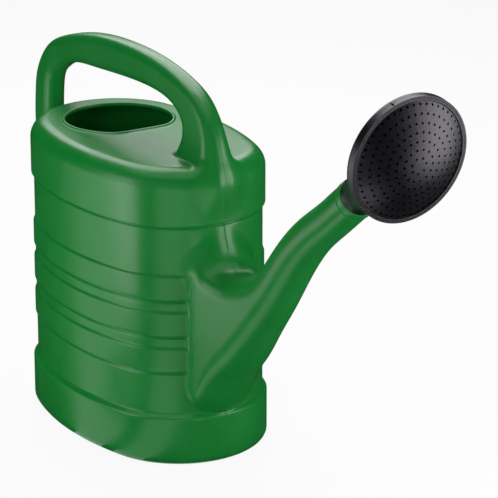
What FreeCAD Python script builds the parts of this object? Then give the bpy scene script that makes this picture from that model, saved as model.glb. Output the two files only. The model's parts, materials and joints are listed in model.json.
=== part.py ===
import FreeCAD, Part
import Sketcher
import math
import os

# A blow-moulded garden watering can with a push-on rose.
# +X points from the tank to the spout, +Z is up, and Y=0 is the moulding's parting plane.
# The origin is the middle of the tank's base. All sizes are in millimetres and degrees.

V = FreeCAD.Vector
doc = FreeCAD.newDocument("watering_can")

# ---------------------------------------------------------------- driving sizes
SIZES = {
    # tank: an oval of four arcs, with a skirt, raised bands and a shoulder round its wall
    "half_length": 138.0,
    "half_width": 87.5,
    "end_radius": 79.0,
    "skin": 2.2,
    "tank_height": 288.0,
    "base_round": 9.0,
    "skirt_height": 47.3,
    "skirt_proud": 4.2,
    "skirt_slope": 5.0,
    "band_from": 93.2,
    "band_height": 24.6,
    "band_pitch": 35.3,
    "band_proud": 1.6,
    "band_slope": 3.0,
    "shoulder_from": 234.8,
    "shoulder_proud": 2.6,
    "shoulder_round": 18.0,
    "step_edge": 0.5,
    # filling mouth: a circle with its front cut straight, and a low lip round it
    "mouth_centre": -51.0,
    "mouth_radius": 51.5,
    "mouth_front": -6.0,
    "mouth_corner": 5.0,
    "lip_width": 3.0,
    "lip_height": 1.6,
    # handle: a hollow bow from the rear wall, over the mouth, to the front wall
    "grip_width": 23.0,
    "grip_round": 9.5,
    "hand_height": 47.0,
    "leg_gap": 36.1,
    "leg_depth": 31.9,
    "heel_height": 176.0,
    "heel_width": 30.0,
    "root_width": 46.0,
    "root_round": 21.0,
    # spout: wide and tall where it leaves the tank, round at its tip
    "root_height": 129.5,
    "spout_width": 67.0,
    "tip_forward": 354.6,
    "tip_height": 317.7,
    "tip_slope": 39.0,
    "tip_bore": 31.6,
    "tip_size": 35.2,
    "collar_size": 36.2,
    "collar_length": 8.5,
    "collar_groove": 0.7,
    # rose: an oblique funnel whose neck pushes into the spout's tip
    "neck_gap": 0.05,
    "neck_insert": 24.0,
    "neck_stop": 34.8,
    "neck_seat": 0.3,
    "rose_skin": 1.8,
    "rose_size": 113.0,
    "rim_depth": 7.5,
    "rose_forward": 428.0,
    "rose_height": 368.4,
    "rose_tilt": -8.8,
    "nub_size": 2.0,
    "nub_turn": 23.0,
    # face plate: a perforated dome that snaps into the funnel's rim
    "plate_gap": 0.3,
    "plate_skin": 1.8,
    "plate_ring": 1.8,
    "plate_seat": 3.0,
    "ledge_width": 1.5,
    "ledge_depth": 2.0,
    "spigot_length": 3.0,
    "groove_depth": 1.0,
    "dome_rise": 14.0,
    "hole_size": 2.2,
    "hole_rows": 7,
    "row_pitch": 7.1,
    "hole_pitch": 6.4,
}

sheet = doc.addObject("Spreadsheet::Sheet", "sizes")
for row, (name, value) in enumerate(SIZES.items(), start=1):
    sheet.set(f"A{row}", name)
    sheet.set(f"B{row}", str(value))
    sheet.setAlias(f"B{row}", name)
doc.recompute()


def size(name):
    """One driving size, as the sheet holds it."""
    return float(getattr(sheet, name))


# ---------------------------------------------------------------- helpers
def origin_plane(body, role):
    """The body's own origin plane with that role."""
    return next(item for item in body.Origin.OriginFeatures if item.Role == role)


def new_sketch(body, name, role, offset="0"):
    """An empty sketch on an origin plane, moved along the plane's normal by an expression."""
    sketch = body.newObject("Sketcher::SketchObject", name)
    sketch.AttachmentSupport = [(origin_plane(body, role), "")]
    sketch.MapMode = "FlatFace"
    sketch.setExpression("AttachmentOffset.Base.z", offset)
    return sketch


def constrain(sketch, expression, *constraint):
    """Adds a dimension and binds it to an expression on the sheet."""
    index = sketch.addConstraint(Sketcher.Constraint(*constraint))
    sketch.setExpression(f"Constraints[{index}]", expression)


def edges_at(shape, height):
    """Names of the shape's edges that lie flat at that height."""
    flat = [
        abs(edge.BoundBox.ZMin - height) + abs(edge.BoundBox.ZMax - height) < 1e-4
        for edge in shape.Edges
    ]
    return [f"Edge{number}" for number, found in enumerate(flat, start=1) if found]


def round_edges(body, name, names, radius):
    """A fillet on the body's tip feature, its radius bound to an expression."""
    base = body.Tip
    fillet = body.newObject("PartDesign::Fillet", name)
    fillet.Base = (base, names)
    fillet.setExpression("Radius", radius)
    body.Tip = fillet
    doc.recompute()
    return fillet


def cut(name, base, tool):
    """One object minus another."""
    result = doc.addObject("Part::Cut", name)
    result.Base = base
    result.Tool = tool
    doc.recompute()
    return result


def fuse(name, shapes):
    """Objects joined into one."""
    result = doc.addObject("Part::MultiFuse", name)
    result.Shapes = shapes
    result.Refine = True
    doc.recompute()
    return result


def place(obj, shape):
    """Gives a plain feature its shape, in the model's own frame."""
    obj.Shape = shape
    obj.Placement = FreeCAD.Placement()


def feature(name, shape):
    """A plain feature that holds a shape."""
    obj = doc.addObject("Part::Feature", name)
    place(obj, shape)
    return obj


# ---------------------------------------------------------------- tank
def oval_sketch(name, height, proud):
    """The tank's outline at a height: two end arcs and two flatter side arcs, moved out by proud."""
    a, b, end = size("half_length"), size("half_width"), size("end_radius")
    side = (a * a + b * b - 2 * a * end) / (2 * (b - end))
    along, across = a - end, side - b
    turn = math.atan2(across, along)
    sketch = doc.addObject("Sketcher::SketchObject", name)
    sketch.setExpression("Placement.Base.z", height)
    up = V(0, 0, 1)
    arcs = [
        (V(along, 0, 0), end, -turn, turn),
        (V(0, -across, 0), side, turn, math.pi - turn),
        (V(-along, 0, 0), end, math.pi - turn, math.pi + turn),
        (V(0, across, 0), side, math.pi + turn, 2 * math.pi - turn),
    ]
    for centre, radius, start, stop in arcs:
        sketch.addGeometry(Part.ArcOfCircle(Part.Circle(centre, up, radius), start, stop))
    for index in range(4):
        sketch.addConstraint(Sketcher.Constraint("Tangent", index, 2, (index + 1) % 4, 1))
    for index, axis in ((0, -1), (2, -1), (1, -2)):
        sketch.addConstraint(Sketcher.Constraint("PointOnObject", index, 3, axis))
    sketch.addConstraint(Sketcher.Constraint("Equal", 0, 2))
    sketch.addConstraint(Sketcher.Constraint("Equal", 1, 3))
    big = (
        "(sizes.half_length^2 + sizes.half_width^2 - 2*sizes.half_length*sizes.end_radius)"
        " / (2*(sizes.half_width - sizes.end_radius))"
    )
    constrain(sketch, f"sizes.end_radius + {proud}", "Radius", 0, end)
    constrain(sketch, f"{big} + {proud}", "Radius", 1, side)
    constrain(sketch, "sizes.half_length - sizes.end_radius", "DistanceX", -1, 1, 0, 3, along)
    return sketch


def banded_wall(label, inset, floor, roof):
    """A solid of the tank's wall from floor to roof, every outline moved in by inset."""
    edge, skirt = "sizes.step_edge", "sizes.skirt_proud"
    outlines = [
        (floor, skirt),
        ("sizes.skirt_height", skirt),
        ("sizes.skirt_height + sizes.skirt_slope", "0"),
    ]
    for number in range(3):
        low = f"sizes.band_from + {number}*sizes.band_pitch"
        high = f"{low} + sizes.band_height"
        outlines += [
            (low, "0"),
            (f"{low} + {edge}", "sizes.band_proud"),
            (f"{high} - sizes.band_slope", "sizes.band_proud"),
            (high, "0"),
        ]
    outlines += [
        ("sizes.shoulder_from", "0"),
        (f"sizes.shoulder_from + {edge}", "sizes.shoulder_proud"),
        (roof, "sizes.shoulder_proud"),
    ]
    wall = doc.addObject("Part::Loft", f"{label}_wall")
    wall.Sections = [
        oval_sketch(f"{label}_outline_{number:02d}", height, f"{proud} - {inset}")
        for number, (height, proud) in enumerate(outlines)
    ]
    wall.Solid = True
    wall.Ruled = True
    doc.recompute()
    return wall


def mouth_block(label, grow, low, high):
    """The filling mouth's outline, moved out by grow, as a block from low to high."""
    body = doc.addObject("PartDesign::Body", label)
    sketch = new_sketch(body, f"{label}_outline", "XY_Plane", low)
    centre, radius, front = size("mouth_centre"), size("mouth_radius"), size("mouth_front")
    half = math.sqrt(radius * radius - (front - centre) ** 2)
    turn = math.atan2(half, front - centre)
    circle = Part.Circle(V(centre, 0, 0), V(0, 0, 1), radius)
    sketch.addGeometry(Part.ArcOfCircle(circle, turn, 2 * math.pi - turn))
    sketch.addGeometry(Part.LineSegment(V(front, -half, 0), V(front, half, 0)))
    sketch.addConstraint(Sketcher.Constraint("Coincident", 0, 2, 1, 1))
    sketch.addConstraint(Sketcher.Constraint("Coincident", 1, 2, 0, 1))
    sketch.addConstraint(Sketcher.Constraint("Vertical", 1))
    sketch.addConstraint(Sketcher.Constraint("PointOnObject", 0, 3, -1))
    constrain(sketch, "sizes.mouth_centre", "DistanceX", -1, 1, 0, 3, centre)
    constrain(sketch, f"sizes.mouth_radius + {grow}", "Radius", 0, radius)
    constrain(sketch, f"sizes.mouth_front + {grow}", "DistanceX", -1, 1, 1, 1, front)
    pad = body.newObject("PartDesign::Pad", f"{label}_pad")
    pad.Profile = sketch
    pad.setExpression("Length", f"{high} - ({low})")
    body.Tip = pad
    doc.recompute()
    corners = [
        f"Edge{number}"
        for number, edge in enumerate(pad.Shape.Edges, start=1)
        if edge.BoundBox.ZLength > 0.9 * pad.Shape.BoundBox.ZLength
    ]
    round_edges(body, f"{label}_corners", corners, f"sizes.mouth_corner + {grow}")
    return body


def rounded(label, solid, rounds):
    """The solid with its flat edges at each height rounded: rounds is (height, radius) pairs."""
    shape = solid.Shape
    for height, radius in rounds:
        shape = shape.makeFillet(radius, [shape.getElement(name) for name in edges_at(shape, height)])
    return feature(label, shape)


tank_form = rounded(
    "tank_form",
    banded_wall("outer", "0", "0", "sizes.tank_height"),
    [(size("tank_height"), size("shoulder_round")), (0.0, size("base_round"))],
)
tank_space = rounded(
    "tank_space",
    banded_wall("inner", "sizes.skin", "sizes.skin", "sizes.tank_height - sizes.skin"),
    [
        (size("tank_height") - size("skin"), size("shoulder_round") - size("skin")),
        (size("skin"), size("base_round") - size("skin")),
    ],
)
mouth = mouth_block(
    "mouth",
    "0",
    "sizes.tank_height - sizes.shoulder_round",
    "sizes.tank_height + sizes.shoulder_round",
)
lip = mouth_block(
    "lip",
    "sizes.lip_width",
    "sizes.tank_height - sizes.skin",
    "sizes.tank_height + sizes.lip_height",
)
lip_top = edges_at(lip.Shape, size("tank_height") + size("lip_height"))
round_edges(lip, "lip_edge", lip_top, "0.75*sizes.lip_height")


# ---------------------------------------------------------------- moulded forms
def rounded_side(half_width, half_height, low_round, high_round, count):
    """Evenly spaced points (across, up) on one side of a box with rounded corners, bottom to top."""
    low, high = min(low_round, half_width), min(high_round, half_width)
    spans = [
        half_width - low,
        low * math.pi / 2,
        2 * half_height - low - high,
        high * math.pi / 2,
        half_width - high,
    ]

    def at(distance):
        """The point that far from the middle of the bottom."""
        if distance <= spans[0]:
            return distance, -half_height
        distance -= spans[0]
        if distance <= spans[1]:
            turn = distance / low
            return (
                half_width - low + low * math.sin(turn),
                -half_height + low - low * math.cos(turn),
            )
        distance -= spans[1]
        if distance <= spans[2]:
            return half_width, -half_height + low + distance
        distance -= spans[2]
        if distance <= spans[3]:
            turn = distance / high
            return (
                half_width - high + high * math.cos(turn),
                half_height - high + high * math.sin(turn),
            )
        return max(half_width - high - (distance - spans[3]), 0.0), half_height

    points = [at(sum(spans) * step / count) for step in range(count)]
    return points + [(0.0, half_height)]


def section(low, high, half_width, low_round, high_round, count=28):
    """Points on the +Y side of a section square to Y=0, from its low (x, z) to its high (x, z)."""
    middle = V((low[0] + high[0]) / 2, 0, (low[1] + high[1]) / 2)
    rise = V(high[0] - low[0], 0, high[1] - low[1])
    half_height = rise.Length / 2
    rise.normalize()
    return [
        middle + V(0, across, 0) + rise * up
        for across, up in rounded_side(half_width, half_height, low_round, high_round, count)
    ]


def moulding(sections):
    """A solid of two mirrored halves that meet on Y=0, each one smooth surface through the sections."""
    surface = Part.BSplineSurface()
    surface.interpolate(sections)
    half = surface.toShape()
    mirror = (V(0, 0, 0), V(0, 1, 0))
    faces = [half, half.mirror(*mirror)]
    first, last, _, _ = surface.bounds()
    for end in (first, last):
        rim = surface.uIso(end).toShape()
        faces.append(Part.Face(Part.Wire([rim, rim.mirror(*mirror)])))
    shell = Part.makeShell(faces)
    shell.sewShape()
    solid = Part.makeSolid(shell)
    if solid.Volume < 0:
        solid.reverse()
    return solid


def slope_vectors(slope):
    """The direction at that slope in the parting plane, and the one square to it, upwards."""
    turn = math.radians(slope)
    return V(math.cos(turn), 0, math.sin(turn)), V(-math.sin(turn), 0, math.cos(turn))


# ---------------------------------------------------------------- handle
def handle_shape(inset):
    """The bow, every section moved in by inset: each station is its outer point, its inner point,
    its width, and the rounding of its outer corners."""
    rear, front = -size("half_length"), size("half_length") + size("shoulder_proud")
    top, heel = size("tank_height"), size("heel_height")
    leg_in = rear - size("leg_gap")
    leg_out = leg_in - size("leg_depth")
    under = top + size("hand_height")
    grip, root = size("grip_width"), size("root_width")
    corner, root_corner = size("grip_round"), size("root_round")
    stations = [
        ((rear + 22, heel - 34), (rear + 22, heel + 24), size("heel_width"), corner),
        ((rear - 8, heel - 27), (rear - 3, heel + 24), size("heel_width"), corner),
        ((rear - 38, heel - 7), (rear - 20, heel + 30), grip + 2, corner),
        ((leg_out + 11, heel + 28), (leg_in + 7, heel + 47), grip, corner),
        ((leg_out, heel + 64), (leg_in, heel + 70), grip, corner),
        ((leg_out, top - 8), (leg_in, top - 8), grip, corner),
        ((leg_out + 6, top + 20), (leg_in + 4, top + 14), grip, corner),
        ((leg_out + 23, top + 44), (leg_in + 13.5, top + 24), grip, corner),
        ((leg_out + 54.5, top + 61), (leg_in + 34.5, top + 35.5), grip, corner),
        ((rear + 44, top + 75.5), (rear + 47, top + 43), grip, corner),
        ((rear + 109, top + 81), (rear + 109, under), grip, corner),
        ((front - 104, top + 77.5), (front - 112, under + 0.5), grip, corner),
        ((front - 60, top + 68), (front - 80, top + 42), grip, corner),
        ((front - 32, top + 55), (front - 65, top + 33), grip, corner),
        ((front - 13, top + 32), (front - 59, top + 21), grip + 2, corner + 1),
        ((front - 3, top + 8), (front - 60, top + 8), 0.7 * root, 0.7 * root_corner),
        ((front + 1.5, top - 16), (front - 64, top - 12), root, root_corner),
        ((front - 9, top - 46), (front - 54, top - 34), root, root_corner),
    ]
    sections = []
    for outer, inner, width, outer_corner in stations:
        depth = V(outer[0] - inner[0], 0, outer[1] - inner[1])
        move = depth * (inset / depth.Length)
        low, high = (inner[0] + move.x, inner[1] + move.z), (outer[0] - move.x, outer[1] - move.z)
        sections.append(section(low, high, width / 2 - inset, corner - inset, outer_corner - inset))
    return moulding(sections)


handle_form = feature("handle_form", handle_shape(0.0))
handle_space = feature("handle_space", handle_shape(size("skin")))
handle = cut("handle", cut("handle_solid", handle_form, tank_form), handle_space)

# ---------------------------------------------------------------- spout
TIP = V(size("tip_forward"), 0, size("tip_height"))
TIP_ALONG, TIP_UP = slope_vectors(size("tip_slope"))


def spout_shape(inset, start):
    """The spout, every section moved in by inset and the first one at start from the tank's front.

    Each station is its middle, half its height, half its width, its lean from upright,
    and the roundness of its top, from 0 for nearly square to 1 for a full round."""
    front, root = size("half_length"), size("root_height")
    wide, tip = size("spout_width") / 2, size("tip_size") / 2
    stations = [
        ((front + start, root - 7.3), 84.7, wide + 0.3, 0.0, 0.4),
        ((front, root - 3.5), 77.5, wide, 0.0, 0.45),
        ((front + 18.5, root + 8.5), 58.4, wide - 2.5, 6.2, 0.55),
        ((front + 39, root + 21), 43.7, wide - 5.5, 14.4, 0.65),
        ((front + 58.5, root + 37), 32.4, wide - 8.3, 28.5, 0.8),
        ((front + 85, root + 60.8), 23.9, wide - 11.0, 45.4, 0.98),
        ((TIP.x - 99.6, TIP.z - 88.2), tip + 3.0, tip + 3.0, 47.8, 0.99),
        ((TIP.x - 64.6, TIP.z - 51.2), tip + 1.0, tip + 1.0, 45.0, 0.99),
    ]
    for back in (45.0, 30.0, 15.0, 0.0):
        middle = TIP - TIP_ALONG * back
        stations.append(((middle.x, middle.z), tip, tip, size("tip_slope"), 0.99))
    sections = []
    for (x, z), half_height, half_width, lean, roundness in stations:
        _, up = slope_vectors(lean)
        half_height, half_width = half_height - inset, half_width - inset
        low = (x - up.x * half_height, z - up.z * half_height)
        high = (x + up.x * half_height, z + up.z * half_height)
        full = 0.99 * half_width
        sections.append(section(low, high, half_width, full, roundness * full))
    return moulding(sections)


def along_tip(radius, start, stop):
    """A round bar on the tip's axis, from start to stop measured out from the tip's face."""
    return Part.makeCylinder(radius, stop - start, TIP + TIP_ALONG * start, TIP_ALONG)


def collar_shape():
    """The bead round the tip, its two edges rounded."""
    bead = along_tip(size("collar_size") / 2, -size("collar_length"), 0)
    rims = [edge for edge in bead.Edges if edge.Closed and edge.Curve.TypeId == "Part::GeomCircle"]
    return bead.makeFillet(0.9, rims)


def groove_shape():
    """The ring cut away behind the bead."""
    behind, depth = -size("collar_length"), size("collar_groove")
    ring = along_tip(size("collar_size") / 2 + 1, behind - depth, behind)
    return ring.cut(along_tip(size("tip_size") / 2 - depth, behind - depth, behind))


spout_form = feature("spout_form", spout_shape(0.0, -12.0))
spout_space = feature("spout_space", spout_shape(size("skin"), -18.0))
collar = feature("collar", collar_shape())
socket = feature("socket", along_tip(size("tip_bore") / 2, -size("neck_insert") - 2, 1))
groove = feature("groove", groove_shape())
spout_grooved = cut("spout_grooved", fuse("spout_solid", [spout_form, collar]), groove)
spout_outside = cut("spout_outside", spout_grooved, tank_form)
spout = cut("spout", cut("spout_shell", spout_outside, spout_space), socket)

tank_shell = cut("tank_shell", fuse("tank_solid", [tank_form, lip]), tank_space)
tank = cut("tank", cut("tank_open", tank_shell, mouth), spout_space)

# ---------------------------------------------------------------- rose
ROSE = V(size("rose_forward"), 0, size("rose_height"))
ROSE_OUT, ROSE_UP = slope_vectors(size("rose_tilt"))


def curve_point(points, share):
    """A point on the cubic curve with those four control points."""
    rest = 1 - share
    weights = (rest**3, 3 * rest**2 * share, 3 * rest * share**2, share**3)
    return sum((point * weight for point, weight in zip(points, weights)), V(0, 0, 0))


def funnel_shape(inset, begin, past):
    """The funnel and rim, every section moved in by inset: round sections that open from the neck
    and swing round to face out. It runs from begin past the tip to past beyond the rim's face."""
    neck = size("neck_stop") / 2 - inset
    rim, depth = size("rose_size") / 2 - inset, size("rim_depth") - 2 * inset / 3
    start = TIP + TIP_ALONG * begin
    back = ROSE - ROSE_OUT * depth
    low = [start - TIP_UP * neck, start - TIP_UP * neck + TIP_ALONG * 10]
    low += [back - ROSE_UP * rim - ROSE_OUT * 14, back - ROSE_UP * rim]
    high = [start + TIP_UP * neck, start + TIP_UP * neck + TIP_ALONG * 30]
    high += [back + ROSE_UP * rim - ROSE_OUT * 8 - ROSE_UP * 20, back + ROSE_UP * rim]
    ends = [(curve_point(low, step / 8), curve_point(high, step / 8)) for step in range(9)]
    for out in (-0.5 * depth, 0.0, past):
        middle = ROSE + ROSE_OUT * out
        ends.append((middle - ROSE_UP * rim, middle + ROSE_UP * rim))
    sections = []
    for bottom, top in ends:
        radius = (top - bottom).Length / 2
        sections.append(section((bottom.x, bottom.z), (top.x, top.z), radius, radius, radius, 16))
    return moulding(sections)


def on_rose(radius, start, stop):
    """A round bar on the rose's axis, from start to stop measured out from the rim's face."""
    return Part.makeCylinder(radius, stop - start, ROSE + ROSE_OUT * start, ROSE_OUT)


def rose_shell_shape():
    """Funnel, rim and neck, hollow right through, with a ledge for the face plate."""
    rim, skin = size("rose_size") / 2, size("rose_skin")
    neck, insert, seat = size("tip_bore") / 2 - size("neck_gap"), size("neck_insert"), size("neck_seat")
    trim = on_rose(rim + 5, 0, 10)
    turn = math.radians(size("nub_turn"))
    beside = ROSE_UP * (rim * math.cos(turn)) - V(0, rim * math.sin(turn), 0)
    nub_foot = ROSE + beside - ROSE_OUT * (0.7 * size("rim_depth"))
    nub = Part.makeCylinder(size("nub_size") / 2, 0.4 * size("rim_depth"), nub_foot, ROSE_OUT)
    outside = funnel_shape(0.0, seat, 3.0).cut(trim).fuse([along_tip(neck, -insert, seat + skin), nub])
    bore = along_tip(neck - skin, -insert - 1, seat + 2 * skin)
    shell = outside.cut(funnel_shape(skin, seat + skin, 3.0)).cut(bore)
    foot, top = -size("plate_seat") - size("ledge_depth"), -size("plate_seat")
    ledge = on_rose(rim - skin / 2, foot, top).cut(on_rose(rim - skin - size("ledge_width"), foot, top))
    return shell.fuse(ledge)


def plate_shape():
    """The perforated face: a flat ring, a low groove, a dome, and a spigot behind the ring."""
    gap, skin, seat = size("plate_gap"), size("plate_skin"), size("plate_seat")
    outer = size("rose_size") / 2 - size("rose_skin") - gap
    dome = outer - size("plate_ring")
    spigot = size("rose_size") / 2 - size("rose_skin") - size("ledge_width") - gap
    rise = size("dome_rise")
    ball = (dome * dome + rise * rise) / (2 * rise)

    def height(radius, out):
        """The dome's height over the groove at a radius, on its outer face when out is 0."""
        return math.sqrt((ball - out) ** 2 - radius * radius) - (ball - rise)

    floor, groove, foot = -seat, -size("groove_depth"), -seat - size("spigot_length")
    inner = math.sqrt((ball - skin) ** 2 - (ball - rise) ** 2)
    corners = [
        (dome, groove),
        (dome, 0),
        (outer, 0),
        (outer, floor),
        (spigot, floor),
        (spigot, foot),
        (spigot - skin, foot),
        (spigot - skin, floor),
        (inner, floor),
        (inner, groove),
    ]
    points = [V(radius, 0, z) for radius, z in corners]
    outside = [V(r, 0, height(r, 0) + groove) for r in (0, dome / 2, dome)]
    inside = [V(r, 0, height(r, skin) + groove) for r in (inner, inner / 2, 0)]
    outline = [Part.Arc(*outside).toShape()]
    outline += [Part.makeLine(start, stop) for start, stop in zip(points, points[1:])]
    outline += [Part.Arc(*inside).toShape(), Part.makeLine(inside[-1], outside[0])]
    plate = Part.Face(Part.Wire(outline)).revolve(V(0, 0, 0), V(0, 0, 1), 360)
    drills = []
    for row in range(int(size("hole_rows"))):
        radius = (row + 1) * size("row_pitch")
        count = max(1, round(2 * math.pi * radius / size("hole_pitch")))
        for number in range(count):
            turn = 2 * math.pi * (number + 0.5 * (row % 2)) / count
            foot = V(radius * math.cos(turn), radius * math.sin(turn), -seat)
            drills.append(Part.makeCylinder(size("hole_size") / 2, rise + 2 * seat, foot))
    return plate.cut(Part.makeCompound(drills))


rose_shell = feature("rose_shell", rose_shell_shape())
rose_plate = feature("rose_plate", plate_shape())
rose_plate.Placement = FreeCAD.Placement(ROSE, FreeCAD.Rotation(V(0, 0, 1), ROSE_OUT))

# ---------------------------------------------------------------- checks and files
NODES = {
    "tank": tank,
    "handle": handle,
    "spout": spout,
    "rose_shell": rose_shell,
    "rose_plate": rose_plate,
}
doc.recompute()
for obj in doc.Objects:
    if "Invalid" in obj.State or "Error" in obj.State:
        raise RuntimeError(f"{obj.Name} failed: {obj.State}")
os.makedirs("parts", exist_ok=True)
for label, obj in NODES.items():
    obj.Label = label
    shape = obj.Shape
    if shape.isNull() or not shape.isValid():
        raise RuntimeError(f"{label} has no valid shape")
    shape.exportStep(os.path.join("parts", f"{label}.step"))
    print(f"{label}: {len(shape.Solids)} solid, {shape.Volume / 1000:.1f} cm3, {len(shape.Faces)} faces")
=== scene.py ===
# A garden watering can: one blow-moulded green can (tank, bow handle and spout) and a black
# push-on rose. Lengths are worked out in millimetres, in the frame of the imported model.
import json
import math
import bpy
import numpy as np
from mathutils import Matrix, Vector


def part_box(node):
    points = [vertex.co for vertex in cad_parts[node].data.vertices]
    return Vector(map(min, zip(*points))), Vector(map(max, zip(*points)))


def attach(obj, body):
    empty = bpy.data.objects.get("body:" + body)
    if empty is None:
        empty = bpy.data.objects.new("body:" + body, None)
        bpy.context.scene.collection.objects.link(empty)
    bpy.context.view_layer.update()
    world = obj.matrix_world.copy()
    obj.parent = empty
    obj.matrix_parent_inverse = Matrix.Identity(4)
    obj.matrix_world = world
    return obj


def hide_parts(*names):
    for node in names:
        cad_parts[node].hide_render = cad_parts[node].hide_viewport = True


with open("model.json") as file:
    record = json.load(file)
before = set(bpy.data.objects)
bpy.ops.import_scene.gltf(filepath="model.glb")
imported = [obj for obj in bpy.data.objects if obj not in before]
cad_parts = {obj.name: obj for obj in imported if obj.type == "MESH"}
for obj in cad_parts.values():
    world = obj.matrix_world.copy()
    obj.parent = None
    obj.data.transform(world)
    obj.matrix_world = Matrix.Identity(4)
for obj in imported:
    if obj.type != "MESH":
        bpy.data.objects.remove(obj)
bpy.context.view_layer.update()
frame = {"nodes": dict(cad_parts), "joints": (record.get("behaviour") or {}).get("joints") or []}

# ---------------------------------------------------------------- camera
# The can is seen from its right side and a little above, with the spout towards the right of the
# view, through a long lens, so that its upright edges stay nearly parallel.
AZIMUTH, ELEVATION = math.radians(57.64), math.radians(18.64)
DISTANCE, SENSOR = 2.52086, 36.0
look_at = Vector((0.18266, 0.0, 0.22216))
back = Vector(
    (
        math.sin(AZIMUTH) * math.cos(ELEVATION),
        -math.cos(AZIMUTH) * math.cos(ELEVATION),
        math.sin(ELEVATION),
    )
)
camera_data = bpy.data.cameras.new("camera")
camera_data.sensor_width = SENSOR
camera_data.lens = 202.13
camera_data.clip_end = 100.0
camera = bpy.data.objects.new("camera", camera_data)
camera.location = look_at + DISTANCE * back
camera.rotation_mode = "QUATERNION"
camera.rotation_quaternion = (-back).to_track_quat("-Z", "Y")
bpy.context.collection.objects.link(camera)
scene = bpy.context.scene
scene.camera = camera
scene.view_settings.view_transform = "Standard"


# ---------------------------------------------------------------- room
# A pale floor and a white backdrop, with soft boxes round the can: beside it, beyond its spout,
# over its rear and low under the rose, and a fill lamp that gloss doesn't show. Black felt, which
# only gloss shows, keeps the plastic deep between the lamps, as in a studio.
class Signal:
    """One socket of a node tree. Sums, differences and products of signals add Math nodes."""

    def __init__(self, tree, socket=None):
        self.tree, self.socket = tree, socket

    def node(self, kind, settings, inputs, output=0):
        """Adds a node of that kind: its settings, then the numbers or signals of its sockets."""
        made = self.tree.nodes.new(kind)
        for name, value in settings.items():
            setattr(made, name, value)
        for name, value in inputs.items():
            if isinstance(value, Signal):
                self.tree.links.new(value.socket, made.inputs[name])
            else:
                made.inputs[name].default_value = value
        return Signal(self.tree, made.outputs[output]) if made.outputs else None

    def math(self, operation, first, second=0.0):
        """A Math node's result: that operation on one or two numbers or signals."""
        return self.node("ShaderNodeMath", {"operation": operation}, {0: first, 1: second})

    def __add__(self, other):
        return self.math("ADD", self, other)

    def __radd__(self, other):
        return self.math("ADD", other, self)

    def __sub__(self, other):
        return self.math("SUBTRACT", self, other)

    def __rsub__(self, other):
        return self.math("SUBTRACT", other, self)

    def __mul__(self, other):
        return self.math("MULTIPLY", self, other)

    def __rmul__(self, other):
        return self.math("MULTIPLY", other, self)

    def __abs__(self):
        return self.math("ABSOLUTE", self)

    def between(self, start, stop):
        """0 below start, 1 above stop, and a smooth step from one to the other."""
        ends = {"From Min": start, "From Max": stop, "To Min": 0.0, "To Max": 1.0}
        smoothly = {"interpolation_type": "SMOOTHSTEP"}
        return self.node("ShaderNodeMapRange", smoothly, {"Value": self, **ends})

    def colour(self, low, high):
        """The colour low where the signal is 0 and high where it is 1."""
        ends = {0: self, 6: low, 7: high}
        return self.node("ShaderNodeMix", {"data_type": "RGBA"}, ends, output=2)


def new_material(name):
    """An empty material and a signal that adds nodes to its tree."""
    material = bpy.data.materials.new(name)
    material.use_nodes = True
    material.node_tree.nodes.clear()
    return material, Signal(material.node_tree)


def finish_surface(start, shader):
    """Links a shader to the material's output."""
    start.node("ShaderNodeOutputMaterial", {}, {"Surface": shader})


def room_sheet(name, across, along, surface):
    """A sheet of the room: a grid over two rows of values, surface giving x, y and z at each."""
    first, second = np.meshgrid(across, along)
    points = np.stack(surface(first, second), -1).reshape(-1, 3)
    columns, rows = len(across), len(along)
    corner = np.arange(rows * columns).reshape(rows, columns)
    faces = np.stack([corner[:-1, :-1], corner[:-1, 1:], corner[1:, 1:], corner[1:, :-1]], -1)
    mesh = bpy.data.meshes.new(name)
    mesh.from_pydata(points.tolist(), [], faces.reshape(-1, 4).tolist())
    sheet = bpy.data.objects.new(name, mesh)
    bpy.context.collection.objects.link(sheet)
    return sheet


def background_rays(start):
    """1 for the rays that show the background: the camera's, and those of gloss and of glass."""
    names = ("Is Camera Ray", "Is Glossy Ray", "Is Transmission Ray")
    camera_ray, gloss_ray, glass_ray = (
        start.node("ShaderNodeLightPath", {}, {}, output=name) for name in names
    )
    return start.math("MAXIMUM", camera_ray, start.math("MAXIMUM", gloss_ray, glass_ray))


FLOOR_EDGE, FLOOR_WHITE, WHITE = 6.0, 0.92, (1.0, 1.0, 1.0, 1.0)
floor_ends = [-FLOOR_EDGE, FLOOR_EDGE]
floor = room_sheet("floor", floor_ends, floor_ends, lambda x, y: (x, y, 0 * x))
floor_material, start = new_material("floor_paper")
lit = start.node("ShaderNodeBsdfDiffuse", {}, {"Color": (0.8, 0.8, 0.8, 1.0)})
white = start.node("ShaderNodeEmission", {}, {"Color": WHITE, "Strength": 1.0})
shadowed = start.node("ShaderNodeMixShader", {}, {0: FLOOR_WHITE, 1: lit, 2: white})
seen = start.node("ShaderNodeMixShader", {}, {0: background_rays(start), 1: lit, 2: shadowed})
finish_surface(start, seen)
floor.data.materials.append(floor_material)

world = bpy.data.worlds.new("room")
world.use_nodes = True
world.node_tree.nodes.clear()
start = Signal(world.node_tree)
walls = start.node("ShaderNodeBackground", {}, {"Color": WHITE, "Strength": 0.12})
backdrop = start.node("ShaderNodeBackground", {}, {"Color": WHITE, "Strength": 1.0})
shown = start.node("ShaderNodeMixShader", {}, {0: background_rays(start), 1: walls, 2: backdrop})
start.node("ShaderNodeOutputWorld", {}, {"Surface": shown})
scene.world = world

felt_material, start = new_material("felt")
finish_surface(start, start.node("ShaderNodeBsdfDiffuse", {}, {"Color": (0.02, 0.02, 0.02, 1.0)}))


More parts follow.
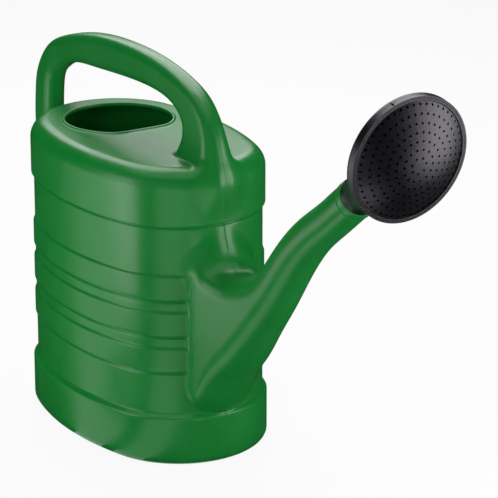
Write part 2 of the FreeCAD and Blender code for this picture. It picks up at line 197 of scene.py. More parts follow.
def felt(name, centre, first, last, reaches, heights):
    """Black felt round a centre, between two bearings in degrees, counted from the can's right side
    to its front: flat on the floor where its reach varies, and hanging where its height does."""
    bearings = np.radians(np.linspace(first, last, 25))

    def surface(turn, share):
        """The place at a bearing, reach and height being that share of the way to their ends."""
        reach = reaches[0] + (reaches[1] - reaches[0]) * share
        height = heights[0] + (heights[1] - heights[0]) * share
        return centre[0] + reach * np.sin(turn), centre[1] - reach * np.cos(turn), height

    sheet = room_sheet(name, bearings, [0.0, 1.0], surface)
    sheet.data.materials.append(felt_material)
    for ray in ("camera", "diffuse", "transmission", "shadow"):
        setattr(sheet, f"visible_{ray}", False)


FELT_REACH = 3.0
ON_FLOOR, ON_FELT = (0.003, 0.003), (0.004, 0.004)
felt("felt_round", (0.0, 0.0), -180.0, 180.0, (FELT_REACH, FELT_REACH), (0.0, 4.0))
felt("felt_rear", (0.02, -0.09), 140.0, 305.0, (0.01, FELT_REACH), ON_FLOOR)
felt("felt_front", (0.05, -0.05), 72.0, 160.0, (0.01, FELT_REACH), ON_FLOOR)
felt("felt_left", (0.05, -0.05), 8.0, 34.0, (0.01, FELT_REACH), ON_FLOOR)
felt("felt_spot", (0.05, -0.27), -180.0, 180.0, (0.001, 0.11), ON_FELT)


def softbox(name, place, target, width, height, brightness):
    """A rectangular lamp at a place, turned towards its target. Brightness 1 looks white."""
    data = bpy.data.lights.new(name, "AREA")
    data.shape = "RECTANGLE"
    data.size, data.size_y, data.energy = width, height, brightness * math.pi * width * height
    lamp = bpy.data.objects.new(name, data)
    lamp.location = place
    lamp.rotation_mode = "QUATERNION"
    lamp.rotation_quaternion = (Vector(target) - Vector(place)).to_track_quat("-Z", "Y")
    lamp.visible_camera = False
    bpy.context.collection.objects.link(lamp)
    return lamp


softbox("lamp_left", (-0.03, -0.5, 0.22), (0.0, -0.09, 0.16), 0.29, 0.46, 2.1)
softbox("lamp_right", (0.67, 0.43, 0.31), (0.14, 0.03, 0.22), 0.40, 0.52, 4.0)
softbox("lamp_over", (-0.71, 0.40, 1.29), (0.03, 0.0, 0.26), 1.15, 1.6, 3.2)
softbox("lamp_low", (0.56, -0.08, 0.02), (0.42, 0.0, 0.30), 0.13, 0.16, 3.0)
fill = softbox("lamp_fill", (1.4, -1.5, 0.8), (0.0, 0.0, 0.2), 1.2, 1.2, 2.2)
fill.visible_glossy = False


# ---------------------------------------------------------------- tank
# The blown tank: an oval of four arcs with a skirt, three raised bands and a shoulder round its
# wall, a rolled top edge, and a filling mouth with a low lip, cut straight at its front.
def green_plastic():
    """Polyethylene coloured in the mass, as it leaves the blow mould: a soft gloss, faint clouding,
    a fine grain, shallow waves from uneven cooling, and the flash of the parting line."""
    material, start = new_material("green_plastic")
    place = start.node("ShaderNodeTexCoord", {}, {}, output="Object")
    apart = start.node("ShaderNodeSeparateXYZ", {}, {"Vector": place}, output="Y")

    def noise(scale, detail, rough=0.5):
        """Soft noise through the plastic: about scale lumps in a metre, with finer ones on them."""
        sockets = {"Vector": place, "Scale": scale, "Detail": detail, "Roughness": rough}
        return start.node("ShaderNodeTexNoise", {}, sockets)

    cloud, smear = noise(9.0, 3.0), noise(38.0, 4.0, 0.6)
    grain, wave = noise(1500.0, 2.0), noise(24.0, 1.0)
    tone = (cloud * 0.6 + smear * 0.4).between(0.3, 0.7)
    colour = tone.colour((0.005, 0.205, 0.028, 1.0), (0.007, 0.232, 0.034, 1.0))
    gloss = 0.26 + 0.08 * smear.between(0.3, 0.75) + 0.04 * grain
    seam = 1.0 - abs(apart).between(0.00025, 0.0008)
    height = seam * 0.25 + wave * 0.35 + grain * 0.02
    bump = start.node("ShaderNodeBump", {}, {"Strength": 0.5, "Distance": 0.001, "Height": height})
    shader = start.node(
        "ShaderNodeBsdfPrincipled",
        {},
        {"Base Color": colour, "Roughness": gloss, "Normal": bump, "IOR": 1.5},
    )
    finish_surface(start, shader)
    return material


GREEN = green_plastic()


def smooth(value, start, stop):
    """0 up to start, 1 from stop, and the cubic 3t^2 - 2t^3 between them."""
    share = np.clip((value - start) / (stop - start), 0.0, 1.0)
    return share * share * (3.0 - 2.0 * share)


tank_high = 1000.0 * np.array(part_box("tank")[1])
SHOULDER_PROUD, SKIRT_PROUD, BAND_PROUD, LIP_HEIGHT = 2.6, 4.2, 1.6, 1.6
HALF_LENGTH, HALF_WIDTH = tank_high[0] - SKIRT_PROUD, tank_high[1] - SKIRT_PROUD
TOP, SKIN = tank_high[2] - LIP_HEIGHT, 2.2
END_RADIUS, TOP_ROUND, BASE_ROUND = 79.0, 18.0, 9.0
SKIRT_TOP, SKIRT_SLOPE = 47.3, 5.0
BANDS, BAND_HEIGHT, BAND_EDGE, BAND_SLOPE = (93.2, 128.5, 163.8), 24.6, 0.5, 3.0
SHOULDER_FROM, SHOULDER_EDGE, CREASE = 234.8, 0.6, 1.3
SIDE_RADIUS = (HALF_LENGTH**2 + HALF_WIDTH**2 - 2 * HALF_LENGTH * END_RADIUS) / (
    2 * (HALF_WIDTH - END_RADIUS)
)
ALONG, ACROSS = HALF_LENGTH - END_RADIUS, SIDE_RADIUS - HALF_WIDTH
TURN = math.atan2(ACROSS, ALONG)


def oval_gap(points):
    """Distance in plan from the plain oval, below 0 inside: to the end arc or the side arc."""
    x, y = np.abs(points[..., 0]), np.abs(points[..., 1])
    by_end = (x - ALONG) * ACROSS > y * ALONG
    to_end = np.hypot(x - ALONG, y) - END_RADIUS
    to_side = np.hypot(x, y + ACROSS) - SIDE_RADIUS
    return np.where(by_end, to_end, to_side)


def wall_swell(z):
    """How far the wall stands out at a height: skirt, bands and shoulder each add a smooth step up
    at their lower edge and down at their upper one, and a bell curve is taken off as the crease
    under each lower edge."""
    out = SKIRT_PROUD * (1 - smooth(z, SKIRT_TOP, SKIRT_TOP + SKIRT_SLOPE))
    for low in BANDS:
        high = low + BAND_HEIGHT
        risen = smooth(z, low - BAND_EDGE, low + BAND_EDGE)
        out = out + BAND_PROUD * (risen - smooth(z, high - BAND_SLOPE, high))
    shoulder = smooth(z, SHOULDER_FROM - SHOULDER_EDGE, SHOULDER_FROM + SHOULDER_EDGE)
    out = out + SHOULDER_PROUD * shoulder
    for low in (*BANDS, SHOULDER_FROM):
        out = out - CREASE * np.exp(-(((z - low + CREASE) / CREASE) ** 2))
    return out


def front_rib(points):
    """The bow's front face runs down the shoulder as two low ridges beside the seam, each with a
    shallow flute outside it: a sum of bell curves across, fading out towards the shoulder's edge.
    The seam itself is a narrow groove all the way down, a bell curve taken away."""

    def bell(height, middle, spread):
        """height * e to the power of -((across - middle) / spread)^2"""
        return height * np.exp(-(((across - middle) / spread) ** 2))

    across = np.abs(points[..., 1])
    fade = smooth(points[..., 2], SHOULDER_FROM + 2.0, TOP - 14.0)
    ridge, flute, groove = bell(0.9, 7.0, 3.5), bell(0.7, 20.0, 7.0), bell(0.6, 0.0, 0.9)
    return np.where(points[..., 0] > 0, (ridge - flute) * fade - groove, 0.0)


def tank_gap(points):
    """Distance from the tank's outer skin, below 0 inside: the oval carried up, its wall's swell
    and front ribs taken off, with a round at the top edge and a smaller one at the base."""
    z = points[..., 2]
    side = oval_gap(points) - wall_swell(z) - front_rib(points)
    round_by = np.where(z > TOP / 2, TOP_ROUND, BASE_ROUND)
    over = np.abs(z - TOP / 2) - TOP / 2
    corner = np.stack([side + round_by, over + round_by], -1)
    return np.linalg.norm(np.maximum(corner, 0), axis=-1) + np.minimum(corner.max(-1), 0) - round_by


# ---------------------------------------------------------------- handle
# The bow, blown hollow with the tank: up from the rear wall, over the mouth, and down into the
# front wall, where its flanks widen. Like the spout, it is a limb: a row of sections square to the
# parting plane, whose skin runs into the tank's.
def spline(knots, values, at):
    """Natural cubic spline through values at knots: the second derivatives solve the usual
    three-term equations, and each span is the cubic that its ends' values and bends give."""
    step = np.diff(knots)
    count = len(knots)
    system, right = np.eye(count), np.zeros((count, values.shape[1]))
    inner = np.arange(1, count - 1)
    system[inner, inner - 1], system[inner, inner + 1] = step[:-1], step[1:]
    system[inner, inner] = 2 * (step[:-1] + step[1:])
    rise = np.diff(values, axis=0) / step[:, None]
    right[1:-1] = 6 * np.diff(rise, axis=0)
    bend = np.linalg.solve(system, right)
    span = np.clip(np.searchsorted(knots, at) - 1, 0, count - 2)
    width, left = step[span][:, None], (at - knots[span])[:, None]
    rest = width - left
    return (
        (bend[span] * rest**3 + bend[span + 1] * left**3) / (6 * width)
        + (values[span] / width - bend[span] * width / 6) * rest
        + (values[span + 1] / width - bend[span + 1] * width / 6) * left
    )


def limb(stations, places):
    """A limb's table. Each station, and each row of the table, is a section: its low point (x, z)
    and high point (x, z), half its width, and the roundings of its low and high corners. The rows
    are a spline through the stations, at places from 0 to 1 along the stations' middles."""
    stations = np.array(stations)
    middle = (stations[:, 0:2] + stations[:, 2:4]) / 2
    knots = np.append(0, np.cumsum(np.linalg.norm(np.diff(middle, axis=0), axis=1)))
    return spline(knots, stations, knots[-1] * np.asarray(places))


def limb_rings(table, around):
    """Rings of points of a limb: round each section, a box with rounded corners, at equal lengths.
    Each run (flat, corner, side, corner, flat) adds its share of the way, clipped to its length."""
    way = np.linspace(-1, 1, around, endpoint=False)
    low, high = table[:, None, 0:2], table[:, None, 2:4]
    half = table[:, 4:5]
    tall = np.linalg.norm(high - low, axis=-1) / 2
    most = 0.999 * np.minimum(half, tall)
    low_round, high_round = (np.clip(table[:, k : k + 1], 0.2, most) for k in (5, 6))
    runs = [
        half - low_round,
        low_round * math.pi / 2,
        2 * tall - low_round - high_round,
        high_round * math.pi / 2,
        half - high_round,
    ]
    ends = np.cumsum(runs, axis=0)
    gone = ends[-1] * np.abs(way)
    first, low_turn, side, high_turn, last = (
        np.clip(gone - (end - run), 0, run) for end, run in zip(ends, runs)
    )
    low_turn, high_turn = low_turn / low_round, high_turn / high_round
    across = first + low_round * np.sin(low_turn) - high_round * (1 - np.cos(high_turn)) - last
    up = low_round * (1 - np.cos(low_turn)) + side + high_round * np.sin(high_turn)
    across = across * np.sign(way + 1e-9)
    flat = low + (high - low) * (up / (2 * tall))[..., None]
    return np.stack([flat[..., 0], across, flat[..., 1]], -1)


def limb_gap(table, points):
    """Distance from a limb's skin, below 0 inside: that from the rounded box of the section whose
    plane holds the point. Rows of the table lie before and behind that plane, so the point's
    distances from their planes have opposite signs, and their ratio places it between them. Of
    several such places, it is the one nearest to the row that comes closest to the point. Beyond
    the limb's ends it is no less than the distance from the end's plane."""
    flat = points[:, 0::2]
    low, high = table[:, 0:2], table[:, 2:4]
    length = np.linalg.norm(high - low, axis=1)
    rise = (high - low) / length[:, None]
    away = flat[:, None] - low
    up = np.clip((away * rise).sum(-1), 0, length)
    near = np.linalg.norm(away - rise * up[..., None], axis=-1).argmin(1)
    aside = away[..., 0] * rise[:, 1] - away[..., 1] * rise[:, 0]
    crossed = aside[:, :-1] * aside[:, 1:] <= 0
    steps_off = np.where(crossed, np.abs(np.arange(len(table) - 1) + 0.5 - near[:, None]), np.inf)
    found = steps_off.argmin(1)
    rows = np.arange(len(points))
    here, after = aside[rows, found], aside[rows, found + 1]
    last = len(table) - 1
    held = crossed.any(1)
    beyond = np.where(held, -np.inf, np.abs(aside[rows, near]))
    place = np.where(held, found + here / (here - after + 1e-12), near)
    place = np.clip(place, 0, last)
    lower = np.minimum(place.astype(int), last - 1)
    part = (place - lower)[:, None]
    section = table[lower] * (1 - part) + table[lower + 1] * part
    low, high, half = section[:, 0:2], section[:, 2:4], section[:, 4]
    tall = np.linalg.norm(high - low, axis=1) / 2
    up = ((flat - (low + high) / 2) * (high - low)).sum(-1) / (2 * tall)
    rounding = np.where(up < 0, section[:, 5], section[:, 6])
    round_by = np.clip(rounding, 0.2, 0.999 * np.minimum(half, tall))
    corner = np.stack([np.abs(points[:, 1]) - half + round_by, np.abs(up) - tall + round_by], -1)
    gap = np.linalg.norm(np.maximum(corner, 0), axis=-1) + np.minimum(corner.max(-1), 0) - round_by
    return np.maximum(gap, beyond)


def filleted(first, second, radius):
    """The lesser of two distances, with the inner corner between them filled to a round of that
    radius: radius less the length of what each distance lacks of it."""
    lacking = np.hypot(np.maximum(radius - first, 0), np.maximum(radius - second, 0))
    return np.maximum(radius, np.minimum(first, second)) - lacking


def handle_softness(points):
    """Radius of the fillet round the bow's roots: narrow on the tank's top, wider at the rear wall
    and widest at the front wall."""
    front, rear = smooth(points[:, 0], 112.0, 134.0), smooth(-points[:, 0], 100.0, 140.0)
    return 3.0 + 8.0 * front + 5.0 * rear


def slope_of(gap, points):
    """The gradient of a distance: its central differences over 0.2 mm."""
    steps = 0.1 * np.eye(3)
    return np.stack([gap(points + step) - gap(points - step) for step in steps], -1) / 0.2


def onto(gap, points, level=0.0):
    """Points moved to where a distance has that level, by five Newton steps: each goes along the
    gradient, by what is missing divided by the square of the gradient's length."""
    for _ in range(5):
        slope = slope_of(gap, points)
        steepness = np.maximum((slope**2).sum(1, keepdims=True), 0.25)
        points = points - (gap(points) - level)[:, None] * slope / steepness
    return points


def settle(rings, others, joins):
    """Moves a skin's points on to the joined skin near each join, and gives their normals there.
    For each join, others has the distance from the part joined on, and joins has the joined
    skin's distance and its fillet's radius. A point follows the joined distance's gradient to 0
    where it is outside the other part, moves less the deeper it lies inside it, and keeps its
    place, hidden, from 1.8 mm inside on."""
    searched, kept, moved_fully, spare = -2.0, -1.8, -0.4, 1.0
    points = rings.reshape(-1, 3).copy()
    normals = np.zeros_like(points)
    for other, (gap, softness) in zip(others, joins):
        apart = other(points)
        near = (apart > searched) & (apart < softness(points) + spare)
        moved, share = onto(gap, points[near]), smooth(apart[near], kept, moved_fully)[:, None]
        placed = points[near] + share * (moved - points[near])
        shifted = (np.linalg.norm(moved - points[near], axis=1) > 1e-3) & (share[:, 0] > 0.5)
        slope = slope_of(gap, placed)
        slope = slope / np.linalg.norm(slope, axis=1, keepdims=True)
        points[near] = placed
        normals[near] = np.where(shifted[:, None], slope, normals[near])
    return points.reshape(rings.shape), normals


def sink_root(rings, wall):
    """A limb's hidden end: points deeper than half a skin in a wall come back to that depth."""
    depth = -SKIN / 2
    points = rings.reshape(-1, 3)
    deep = wall(points) < depth
    points[deep] = onto(wall, points[deep], depth)
    return points.reshape(rings.shape)


def skin(name, rings, normals):
    """A closed mesh through rings of points, in millimetres: quads between neighbouring rings and
    a fan of triangles on the middle of the first and the last. It turns itself to face outwards,
    and takes the given normals, where a row of zeros leaves the mesh's own."""
    rows, columns = rings.shape[:2]
    points = np.concatenate([rings.reshape(-1, 3), [rings[0].mean(0), rings[-1].mean(0)]])
    corner = np.arange(rows * columns).reshape(rows, columns)
    beside = np.roll(corner, -1, axis=1)
    quads = np.stack([corner[:-1], beside[:-1], beside[1:], corner[1:]], -1).reshape(-1, 4)
    poles = np.full(columns, rows * columns)
    fans = np.concatenate(
        [
            np.stack([poles, beside[0], corner[0]], -1),
            np.stack([poles + 1, corner[-1], beside[-1]], -1),
        ]
    )
    first, second, third, fourth = (points[quads[:, corner]] for corner in range(4))
    facing = np.cross(third - first, fourth - second)
    if (facing * points[quads].mean(1)).sum() < 0:
        quads, fans = quads[:, ::-1], fans[:, ::-1]
    mesh = bpy.data.meshes.new(name)
    mesh.from_pydata((points / 1000.0).tolist(), [], quads.tolist() + fans.tolist())
    mesh.shade_smooth()
    given = np.concatenate([normals, np.zeros((2, 3))])
    mesh.normals_split_custom_set_from_vertices(given.tolist())
    piece = bpy.data.objects.new(name, mesh)
    bpy.context.collection.objects.link(piece)
    return piece


FRONT = HALF_LENGTH + SHOULDER_PROUD
LEG_IN = -HALF_LENGTH - 36.0
LEG_OUT = LEG_IN - 31.9
GRIP, ROOT, HEEL, HEEL_WIDTH, CORNER, ROOT_CORNER = 23.0, 46.0, 176.0, 30.0, 9.5, 21.0
HANDLE_COLUMNS = 72


def bow(outer, inner, width=GRIP, outer_corner=CORNER):
    """A station of the bow as a limb's section, whose low point is the inner one."""
    return (*inner, *outer, width / 2, CORNER, outer_corner)


handle_stations = [
    bow((-HALF_LENGTH + 22, HEEL - 34), (-HALF_LENGTH + 22, HEEL + 24), HEEL_WIDTH),
    bow((-HALF_LENGTH - 8, HEEL - 27), (-HALF_LENGTH - 3, HEEL + 24), HEEL_WIDTH),
    bow((-HALF_LENGTH - 38, HEEL - 7), (-HALF_LENGTH - 20, HEEL + 30), GRIP + 2),
    bow((LEG_OUT + 11, HEEL + 28), (LEG_IN + 7, HEEL + 47)),
    bow((LEG_OUT, HEEL + 64), (LEG_IN, HEEL + 70)),
    bow((LEG_OUT, TOP - 8), (LEG_IN, TOP - 8)),
    bow((LEG_OUT + 6, TOP + 20), (LEG_IN + 4, TOP + 14)),
    bow((LEG_OUT + 23, TOP + 44), (LEG_IN + 13.5, TOP + 24)),
    bow((LEG_OUT + 54.5, TOP + 61), (LEG_IN + 34.5, TOP + 35.5)),
    bow((-HALF_LENGTH + 44, TOP + 75.5), (-HALF_LENGTH + 47, TOP + 43)),
    bow((-HALF_LENGTH + 109, TOP + 81), (-HALF_LENGTH + 109, TOP + 47)),
    bow((FRONT - 104, TOP + 77.5), (FRONT - 112, TOP + 47.5)),
    bow((FRONT - 60, TOP + 68), (FRONT - 80, TOP + 42)),
    bow((FRONT - 32, TOP + 55), (FRONT - 65, TOP + 33)),
    bow((FRONT - 13, TOP + 32), (FRONT - 59, TOP + 21), GRIP + 2, CORNER + 1),
    bow((FRONT - 3, TOP + 8), (FRONT - 60, TOP + 8), 0.7 * ROOT, 0.7 * ROOT_CORNER),
    bow((FRONT + 1.5, TOP - 16), (FRONT - 64, TOP - 12), ROOT, ROOT_CORNER),
    bow((FRONT - 9, TOP - 46), (FRONT - 54, TOP - 34), ROOT, ROOT_CORNER),
]
places = np.concatenate([np.linspace(0, 0.84, 150, endpoint=False), np.linspace(0.84, 1, 90)])
handle_table = limb(handle_stations, places)


def handle_gap(points):
    """Distance from the bow's own skin, below 0 inside."""
    return limb_gap(handle_table, points)


def handle_join(points):
    """Distance from tank and bow joined, with the fillet between them."""
    return filleted(tank_gap(points), handle_gap(points), handle_softness(points))


handle_rings = limb_rings(handle_table, HANDLE_COLUMNS)
handle_rings, handle_normals = settle(handle_rings, [tank_gap], [(handle_join, handle_softness)])
handle = skin("handle_bow", sink_root(handle_rings, tank_gap), handle_normals)
handle.data.materials.append(GREEN)
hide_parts("handle")
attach(handle, "can")

# ---------------------------------------------------------------- spout
# The spout leaves the front wall as a tall wedge with two horns, and tapers to a round tube. Its
# tip has a collar with a groove behind it, and the socket for the rose.
rose_joint = next(joint for joint in frame["joints"] if joint["name"] == "rose_turn")
TIP = 1000.0 * np.array(rose_joint["pos_m"])
TIP_ALONG = np.array(rose_joint["axis"])
TIP_ALONG = TIP_ALONG / np.linalg.norm(TIP_ALONG)
TIP_SLOPE = math.degrees(math.atan2(TIP_ALONG[2], TIP_ALONG[0]))
ROOT_HEIGHT, WEDGE, TUBE, BORE, SOCKET = 129.5, 67.0 / 2, 35.2 / 2, 31.6 / 2, 26.0
COLLAR, SPOUT_COLUMNS = 36.2 / 2, 96


def spout_station(x, z, tall, half, lean, roundness):
    """A section by its middle, half its height and width, its lean from upright in degrees, and
    the roundness of its top, from 0 for square to 1 for round."""
    up = np.array([-math.sin(math.radians(lean)), math.cos(math.radians(lean))])
    low, high = np.array([x, z]) - tall * up, np.array([x, z]) + tall * up
    return (*low, *high, half, half, roundness * half)


spout_stations = [
    spout_station(HALF_LENGTH - 12, ROOT_HEIGHT - 2.8, 80.2, WEDGE + 0.3, 0.0, 0.4),
    spout_station(HALF_LENGTH, ROOT_HEIGHT - 3.5, 77.5, WEDGE, 0.0, 0.45),
    spout_station(HALF_LENGTH + 18.5, ROOT_HEIGHT + 8.5, 58.4, WEDGE - 2.5, 6.2, 0.55),
    spout_station(HALF_LENGTH + 39, ROOT_HEIGHT + 21, 43.7, WEDGE - 5.5, 14.4, 0.65),
    spout_station(HALF_LENGTH + 58.5, ROOT_HEIGHT + 37, 32.4, WEDGE - 8.3, 28.5, 0.8),
    spout_station(HALF_LENGTH + 85, ROOT_HEIGHT + 60.8, 23.9, WEDGE - 11.0, 45.4, 0.98),
    spout_station(TIP[0] - 99.6, TIP[2] - 88.2, TUBE + 3.0, TUBE + 3.0, 47.8, 0.99),
    spout_station(TIP[0] - 64.6, TIP[2] - 51.2, TUBE + 1.0, TUBE + 1.0, 45.0, 0.99),
]
for distance in (45.0, 30.0, 15.0):
    x, _, z = TIP - distance * TIP_ALONG
    spout_stations.append(spout_station(x, z, TUBE, TUBE, TIP_SLOPE, 0.99))
places = np.concatenate([np.linspace(0, 0.16, 60, endpoint=False), np.linspace(0.16, 1, 170)])
spout_table = limb(spout_stations, places)


def spout_gap(points):
    """Distance from the spout's own skin, below 0 inside."""
    return limb_gap(spout_table, points)


def spout_softness(points):
    """Radius of the fillet round the spout's root: a crease at its flanks, and a bowl over its
    middle."""
    aside = smooth(np.abs(points[:, 1]), 4.0, 34.0)
    return 2.5 + 29.5 * smooth(points[:, 2], 172.0, 194.0) * (1 - 0.75 * aside)


def spout_join(points):
    """Distance from tank and spout joined, with the fillet between them."""
    return filleted(tank_gap(points), spout_gap(points), spout_softness(points))


spout_rings = limb_rings(spout_table, SPOUT_COLUMNS)
spout_rings, spout_normals = settle(spout_rings, [tank_gap], [(spout_join, spout_softness)])
tube_end = [(14.0, TUBE), (11.0, TUBE), (9.7, TUBE), (9.35, TUBE - 0.15)]
groove = [(9.2, TUBE - 0.6), (8.9, TUBE - 0.7), (8.6, TUBE - 0.6), (8.45, TUBE)]
collar_back = [(8.2, COLLAR - 0.35), (7.6, COLLAR - 0.05), (6.8, COLLAR), (4.0, COLLAR)]
collar_front = [(1.4, COLLAR), (0.7, COLLAR - 0.12), (0.2, COLLAR - 0.5), (0.0, COLLAR - 1.0)]
socket = [(0.1, BORE + 0.5), (0.6, BORE), (4.0, BORE), (12.0, BORE), (SOCKET, BORE)]
socket_floor = [(SOCKET, 0.5 * BORE)]
tip_profile = tube_end + groove + collar_back + collar_front + socket + socket_floor


def tip_rings(profile, around):
    """Circles about the tip's axis: each is (distance back from the tip's face, radius)."""
    turn = math.pi * np.linspace(-1, 1, around, endpoint=False)
    up = np.array([-TIP_ALONG[2], 0.0, TIP_ALONG[0]])
    circle = -np.cos(turn)[:, None] * up + np.sin(turn)[:, None] * np.array([0.0, 1.0, 0.0])
    return np.array([TIP - back * TIP_ALONG + radius * circle for back, radius in profile])


tip = tip_rings(tip_profile, SPOUT_COLUMNS)
spout_rings = np.concatenate([sink_root(spout_rings, oval_gap), tip])
spout_normals = np.concatenate([spout_normals, np.zeros((tip.size // 3, 3))])
spout = skin("spout_moulding", spout_rings, spout_normals)
spout.data.materials.append(GREEN)
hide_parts("spout")
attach(spout, "can")


# ---------------------------------------------------------------- tank's skin
# The tank's mesh, one closed skin from the base over the lip to the floor inside. It comes after
# handle and spout, because it follows both of them where they leave it.
def oval_columns(count, crowding):
    """Centre, radius and outward direction of the oval's arcs at count places round it, closer
    together at both ends: length = half the way round * (q - crowding * sin(2 pi q) / (2 pi))."""
    q = np.linspace(-1.0, 1.0, count, endpoint=False)
    end, side = END_RADIUS * TURN, SIDE_RADIUS * (math.pi / 2 - TURN)
    length = 2 * (end + side) * (q - crowding * np.sin(2 * math.pi * q) / (2 * math.pi))
    rear = np.abs(length) > end + side
    folded = np.where(rear, 2 * (end + side) - np.abs(length), np.abs(length))
    on_end = folded <= end
    angle = np.where(on_end, folded / END_RADIUS, TURN + (folded - end) / SIDE_RADIUS)
    flip = np.stack([np.where(rear, -1.0, 1.0), np.where(length < 0, -1.0, 1.0)], -1)
    centre = np.stack([np.where(on_end, ALONG, 0.0), np.where(on_end, 0.0, -ACROSS)], -1) * flip
    outward = np.stack([np.cos(angle), np.sin(angle)], -1) * flip
    return centre, np.where(on_end, END_RADIUS, SIDE_RADIUS)[:, None], outward


MOUTH_CENTRE, MOUTH_RADIUS, MOUTH_FRONT, MOUTH_CORNER = -51.0, 51.5, -6.0, 5.0


def mouth_radius(angle):
    """The mouth's outline from its centre: the nearer of a circle and the straight front edge,
    with their corner rounded by a soft minimum."""
    toward = np.maximum(np.cos(angle), 0.05)
    straight = np.minimum((MOUTH_FRONT - MOUTH_CENTRE) / toward, 3 * MOUTH_RADIUS)
    share = np.clip(0.5 + 0.5 * (straight - MOUTH_RADIUS) / MOUTH_CORNER, 0, 1)
    mixed = straight * (1 - share) + MOUTH_RADIUS * share
    return mixed - MOUTH_CORNER * share * (1 - share)


def tank_heights():
    """Heights of the wall's rows: evenly spaced, closer beside the limbs' roots, and closest at the
    edges of skirt, bands and shoulder. A row too close to the one under it is left out."""
    wide, close, closest, too_close = 3.6, 2.0, 0.8, 0.12
    roots_from, spout_foot = 170.0, 66.0
    creased = np.array([-3.6, -2.8, -2.2, -1.7, -1.3, -0.9, -0.5, -0.15, 0.2, 0.6, 1.1])
    slope = np.linspace(0.0, SKIRT_SLOPE, 8)
    rows = [
        np.arange(BASE_ROUND, roots_from, wide),
        np.arange(roots_from, TOP - TOP_ROUND - 1.0, close),
        SKIRT_TOP + slope,
        np.arange(SKIRT_TOP + 5.7, spout_foot, closest),
        SHOULDER_FROM + 1.2 * creased,
    ]
    for low in BANDS:
        rows += [low + creased, low + BAND_HEIGHT - 3.4 + 0.76 * slope]
    rows = np.sort(np.concatenate(rows))
    return rows[np.append(True, np.diff(rows) > too_close)]


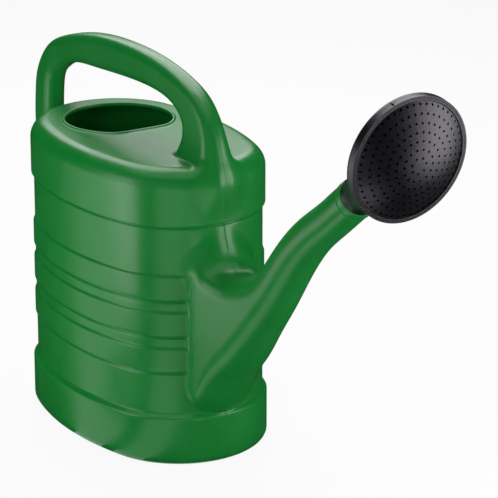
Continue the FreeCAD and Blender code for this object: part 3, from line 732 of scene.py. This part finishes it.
def tank_rings(columns):
    """Rings of points from the middle of the base, out and up the outer skin to the lip's foot, and
    then over the lip into the mouth, and down the inner skin to the middle of its floor. One ring
    is the oval moved out by an offset at a height, or the mouth's outline, or a share of the way
    between the two. The rings of the outer skin come first, and those of the rest apart."""
    centre, radius, outward = columns

    def oval(offset, z):
        """The oval moved out by offset, at height z: each arc's centre + (radius + offset) out."""
        flat = centre + (radius + offset) * outward
        return np.column_stack([flat, np.full(len(flat), z)])

    top_edge = oval(SHOULDER_PROUD - TOP_ROUND, TOP)
    angle = np.arctan2(top_edge[:, 1], top_edge[:, 0] - MOUTH_CENTRE)

    def mouth(grow, z):
        """The mouth's outline moved out by grow, at height z, facing the same way as the oval."""
        reach = mouth_radius(angle) + grow
        x, y = MOUTH_CENTRE + reach * np.cos(angle), reach * np.sin(angle)
        return np.column_stack([x, y, np.full_like(x, z)])

    def shares(first, last, steps):
        """Rings between two rings: first + (last - first) * step."""
        return [first + (last - first) * step for step in steps]

    rings = []
    base = oval(SKIRT_PROUD - BASE_ROUND, 0.0)
    rings += shares(base * [0.02, 0.02, 1], base, (0, 0.12, 0.3, 0.5, 0.7, 0.85, 0.95))
    for turn in np.linspace(-math.pi / 2, 0, 7):
        out = SKIRT_PROUD - BASE_ROUND * (1 - math.cos(turn))
        rings.append(oval(out, BASE_ROUND * (1 + math.sin(turn))))
    rings += [oval(wall_swell(z), z) for z in tank_heights()[1:]]
    for turn in np.linspace(0, math.pi / 2, 20):
        out = SHOULDER_PROUD - TOP_ROUND * (1 - math.cos(turn))
        rings.append(oval(out, TOP - TOP_ROUND * (1 - math.sin(turn))))
    rings += shares(top_edge, mouth(4.2, TOP), np.linspace(0, 1, 30)[1:])
    outer = len(rings)
    lip = [(3.4, 0.1), (3.0, 0.55), (2.5, 1.1), (1.9, 1.45), (1.2, 1.6), (0.6, 1.45)]
    lip += [(0.15, 1.0), (0, 0.4)]
    rings += [mouth(grow, TOP + up) for grow, up in lip]
    rings += [mouth(0.0, TOP - down) for down in (0.8, SKIN - 0.5)]
    rings += [mouth(0.6, TOP - SKIN)]
    inner_edge = oval(SHOULDER_PROUD - TOP_ROUND, TOP - SKIN)
    rings += shares(mouth(3.0, TOP - SKIN), inner_edge, (0, 0.3, 0.65))
    for turn in np.linspace(math.pi / 2, 0, 8):
        out = SHOULDER_PROUD - TOP_ROUND + (TOP_ROUND - SKIN) * math.cos(turn)
        rings.append(oval(out, TOP - TOP_ROUND + (TOP_ROUND - SKIN) * math.sin(turn)))
    heights = tank_heights()[::-1]
    upright = (heights > 10) & (heights < 260)
    rings += [oval(wall_swell(z) - SKIN, z) for z in heights[upright][::4]]
    bend = BASE_ROUND - SKIN
    for turn in np.linspace(0, -math.pi / 2, 6):
        out = SKIRT_PROUD - SKIN - bend * (1 - math.cos(turn))
        rings.append(oval(out, SKIN + bend * (1 + math.sin(turn))))
    floor_edge = oval(SKIRT_PROUD - BASE_ROUND, SKIN)
    rings += shares(floor_edge, floor_edge * [0.02, 0.02, 1], (0.3, 0.6, 1.0))
    return np.array(rings[:outer]), np.array(rings[outer:])


TANK_COLUMNS, CROWDING = 300, 0.45
outer_rings, inner_rings = tank_rings(oval_columns(TANK_COLUMNS, CROWDING))
joins = [(handle_join, handle_softness), (spout_join, spout_softness)]
outer_rings, tank_normals = settle(outer_rings, [handle_gap, spout_gap], joins)
tank_normals = np.concatenate([tank_normals, np.zeros((inner_rings.size // 3, 3))])
tank = skin("tank_moulding", np.concatenate([outer_rings, inner_rings]), tank_normals)
tank.data.materials.append(GREEN)
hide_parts("tank")
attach(tank, "can")


# ---------------------------------------------------------------- rose
# The rose's shell pushes into the spout's tip, and its perforated face snaps into the rim. Both
# are injection mouldings in black plastic, finely textured and as glossy as the can.
def black_plastic():
    """Black polypropylene: faint clouding in its colour and gloss, and a fine grain."""
    material, start = new_material("black_plastic")
    place = start.node("ShaderNodeTexCoord", {}, {}, output="Object")
    cloud = start.node("ShaderNodeTexNoise", {}, {"Vector": place, "Scale": 30.0, "Detail": 4.0})
    grain = start.node("ShaderNodeTexNoise", {}, {"Vector": place, "Scale": 1400.0, "Detail": 2.0})
    tone = cloud.between(0.3, 0.7)
    colour = tone.colour((0.003, 0.0035, 0.005, 1.0), (0.005, 0.0055, 0.007, 1.0))
    gloss = 0.26 + 0.12 * cloud
    bump = start.node("ShaderNodeBump", {}, {"Strength": 0.6, "Distance": 0.0003, "Height": grain})
    shader = start.node(
        "ShaderNodeBsdfPrincipled",
        {},
        {
            "Base Color": colour,
            "Roughness": gloss,
            "Normal": bump,
            "IOR": 1.54,
            "Specular Tint": (1.0, 0.93, 1.0, 1.0),
        },
    )
    finish_surface(start, shader)
    return material


BLACK = black_plastic()
for node in ("rose_shell", "rose_plate"):
    for slot in frame["nodes"][node].material_slots:
        slot.material = BLACK
